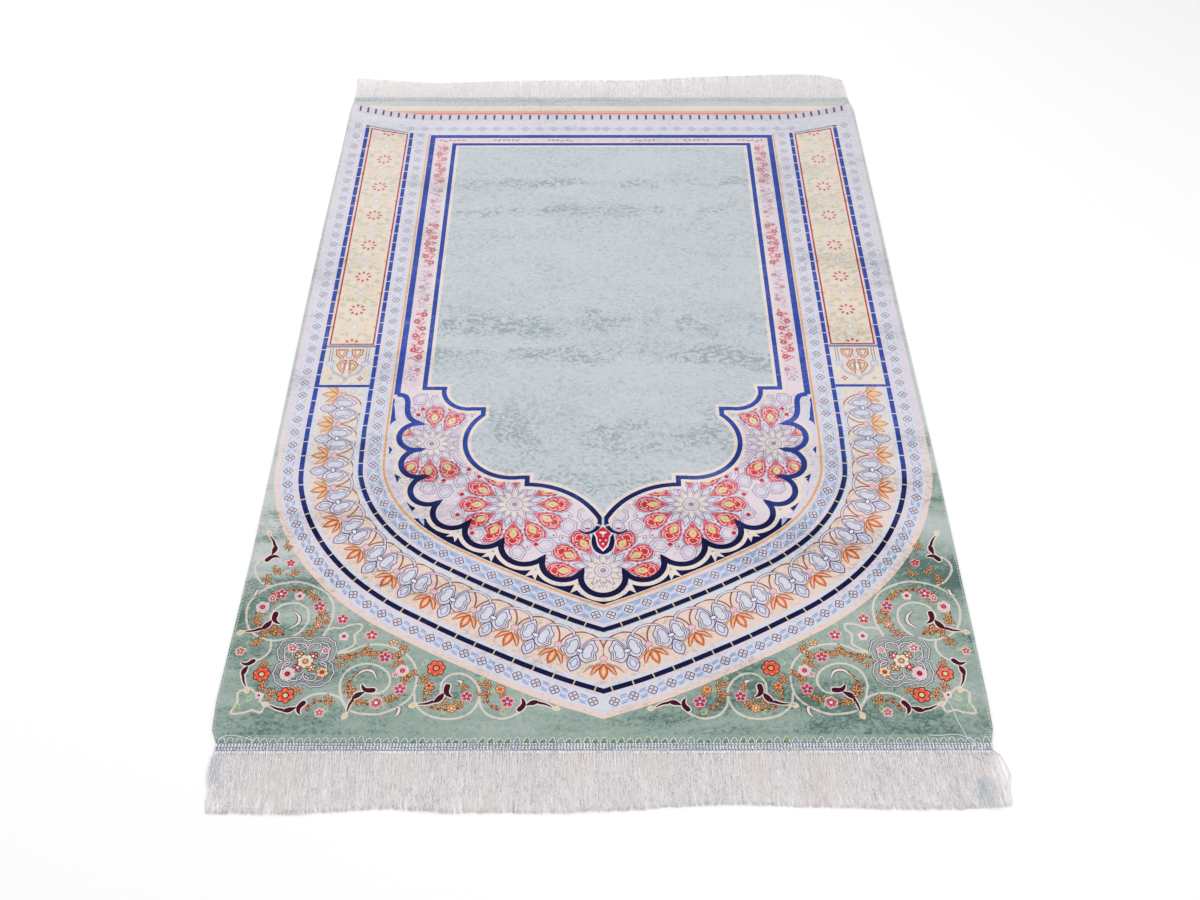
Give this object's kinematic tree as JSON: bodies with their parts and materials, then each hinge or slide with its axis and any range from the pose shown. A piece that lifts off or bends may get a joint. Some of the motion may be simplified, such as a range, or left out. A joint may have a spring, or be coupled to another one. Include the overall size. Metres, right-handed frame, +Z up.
{
  "type": "prayer rug",
  "caption": "Flat velvet prayer rug with a pointed niche design, a woven braid across each end and a yarn fringe beyond each braid.",
  "frame": {"origin": "middle of the rug's underside, at the floor", "axes": "+X to the right and +Y to the square end of the niche, as seen by someone standing at the pointed end; +Z up out of the pile"},
  "size_m": [0.8167, 1.3432, 0.0036],
  "materials": {
    "velvet_cloth": "short velvet pile with a printed niche design, soft sheen",
    "end_braid": "woven braid, matte",
    "fringe_yarn": "fine loose yarn, silky"
  },
  "bodies": {
    "root": {"rug_cloth": "velvet_cloth", "near_braid": "end_braid", "far_braid": "end_braid", "near_fringe": "fringe_yarn", "far_fringe": "fringe_yarn"}
  },
  "joints": []
}
